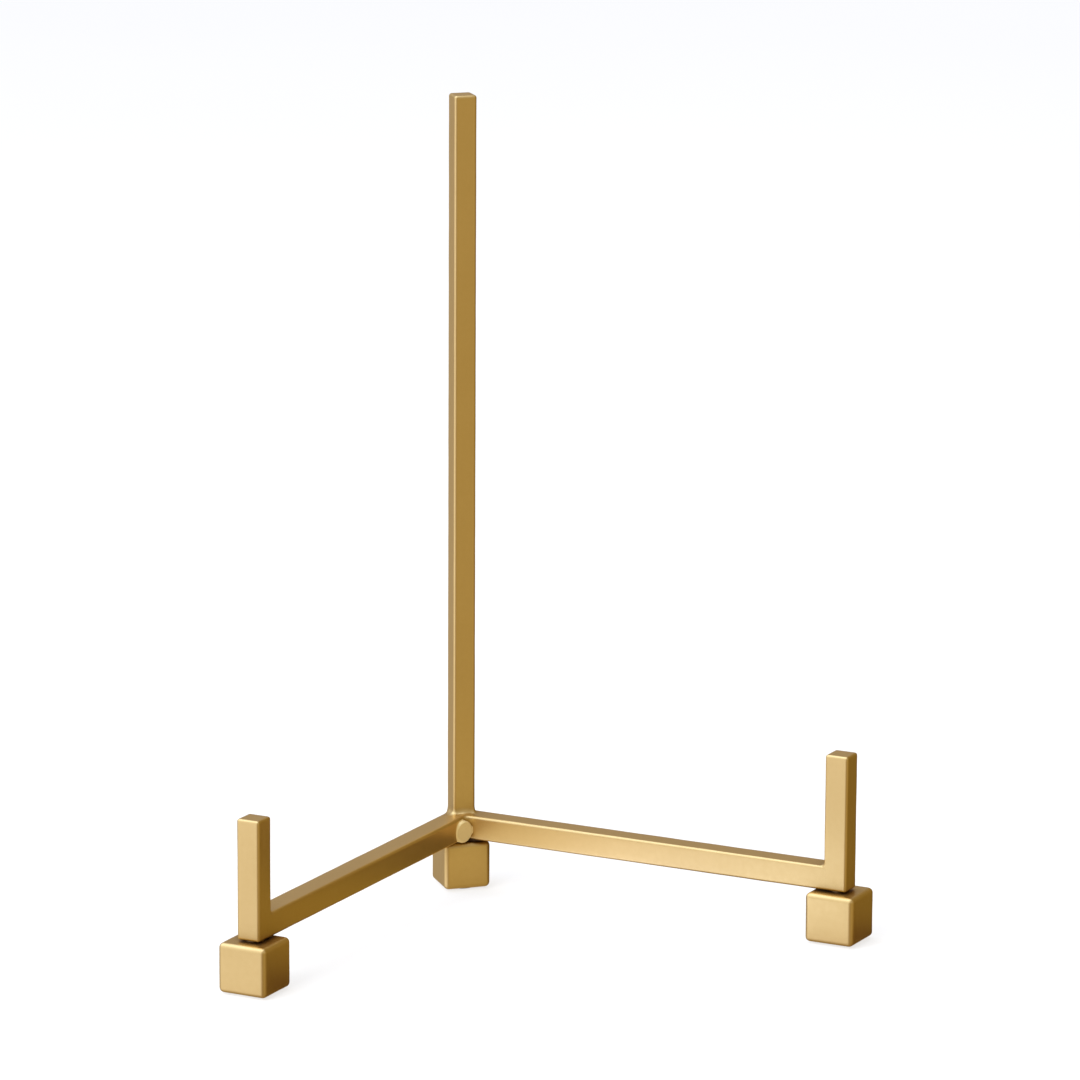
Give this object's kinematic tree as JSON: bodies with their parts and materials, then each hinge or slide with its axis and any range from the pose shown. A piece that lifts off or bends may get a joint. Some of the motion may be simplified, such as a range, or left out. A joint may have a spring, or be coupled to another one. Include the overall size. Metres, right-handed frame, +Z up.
{
  "type": "display easel",
  "caption": "Tabletop display easel in square bar: an upright post and splayed arms with short end lips, on cube feet, to hold a plate, book or picture leaning back against the post.",
  "frame": {"origin": "on the ground under the post's axis, at the centre of the back foot's pad", "axes": "+Z up along the post; -Y is the front, where the arms open and the display faces; +X is to the right as seen from the front"},
  "size_m": [0.1798, 0.0964, 0.2187],
  "materials": {
    "brass_finish": "soft satin brass, smooth, with brighter rounded edges",
    "plain_steel": "plain turned steel",
    "pad_rubber": "matt black rubber"
  },
  "bodies": {
    "root": {"post": "brass_finish", "left_arm": "brass_finish", "right_arm": "brass_finish", "left_lip": "brass_finish", "right_lip": "brass_finish", "corner_plug": "brass_finish", "post_weld": "brass_finish", "left_lip_weld": "brass_finish", "right_lip_weld": "brass_finish", "back_foot": "brass_finish", "left_foot": "brass_finish", "right_foot": "brass_finish", "back_foot_stud": "plain_steel", "left_foot_stud": "plain_steel", "right_foot_stud": "plain_steel", "back_foot_pad": "pad_rubber", "left_foot_pad": "pad_rubber", "right_foot_pad": "pad_rubber"}
  },
  "joints": []
}
